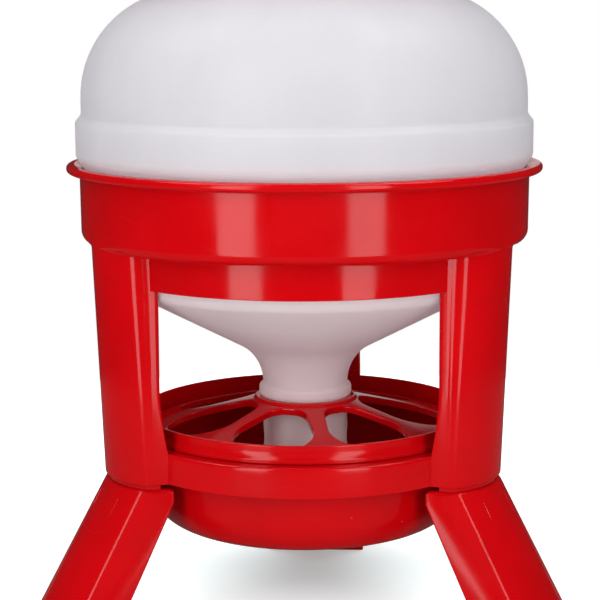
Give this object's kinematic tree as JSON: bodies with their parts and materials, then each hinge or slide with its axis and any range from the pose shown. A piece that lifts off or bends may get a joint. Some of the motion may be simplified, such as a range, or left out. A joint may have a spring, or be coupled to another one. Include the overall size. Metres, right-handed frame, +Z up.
{
  "type": "poultry feeder tower",
  "caption": "Poultry feeder: a lidded milky hopper in a red post frame feeds a grilled round pan, on splayed plug-in feet.",
  "frame": {"origin": "on the floor, under the middle of the whole object; the tower's own axis is vertical at x = 0, y = -0.0365", "axes": "+Z up along the tower; -Y is the front, between two posts; +Y points to the back post"},
  "size_m": [0.5104, 0.493, 0.614],
  "materials": {
    "frame_red": "glossy injection-moulded polypropylene, solid red",
    "foot_red": "glossy injection-moulded polypropylene, solid red",
    "pan_red": "glossy injection-moulded polypropylene, solid red",
    "grille_red": "glossy injection-moulded polypropylene, solid red",
    "lid_red": "glossy injection-moulded polypropylene, solid red",
    "hopper_milky": "translucent milky blow-moulded polyethylene, satin"
  },
  "bodies": {
    "stand_frame": {"frame_tub_ring": "frame_red", "frame_lower_ring": "frame_red", "frame_post_left": "frame_red", "frame_post_right": "frame_red", "frame_post_back": "frame_red"},
    "hopper": {"hopper_mouth": "hopper_milky", "hopper_dome": "hopper_milky", "hopper_cone": "hopper_milky", "hopper_tube": "hopper_milky"},
    "filler_lid": {"filler_lid": "lid_red"},
    "feed_pan": {"feed_pan": "pan_red"},
    "pan_grille": {"pan_grille": "grille_red"},
    "foot_left": {"foot_left": "foot_red"},
    "foot_right": {"foot_right": "foot_red"},
    "foot_back": {"foot_back": "foot_red"}
  },
  "joints": [
    {"name": "hopper_lift", "type": "slide", "parent": "stand_frame", "child": "hopper", "axis": [0, 0, 1], "range_m": [0, 0.3]},
    {"name": "lid_lift", "type": "slide", "parent": "hopper", "child": "filler_lid", "axis": [0, 0, 1], "range_m": [0, 0.1]},
    {"name": "pan_lift", "type": "slide", "parent": "stand_frame", "child": "feed_pan", "axis": [0, 0, 1], "range_m": [0, 0.15]},
    {"name": "grille_lift", "type": "slide", "parent": "feed_pan", "child": "pan_grille", "axis": [0, 0, 1], "range_m": [0, 0.06]},
    {"name": "foot_left_pull", "type": "slide", "parent": "stand_frame", "child": "foot_left", "axis": [0, 0, -1], "range_m": [0, 0.06]},
    {"name": "foot_right_pull", "type": "slide", "parent": "stand_frame", "child": "foot_right", "axis": [0, 0, -1], "range_m": [0, 0.06]},
    {"name": "foot_back_pull", "type": "slide", "parent": "stand_frame", "child": "foot_back", "axis": [0, 0, -1], "range_m": [0, 0.06]}
  ],
  "couplings": [
    {"joint": "pan_lift", "follows": "hopper_lift", "ratio": 0.5},
    {"joint": "grille_lift", "follows": "hopper_lift", "ratio": 0.2}
  ]
}
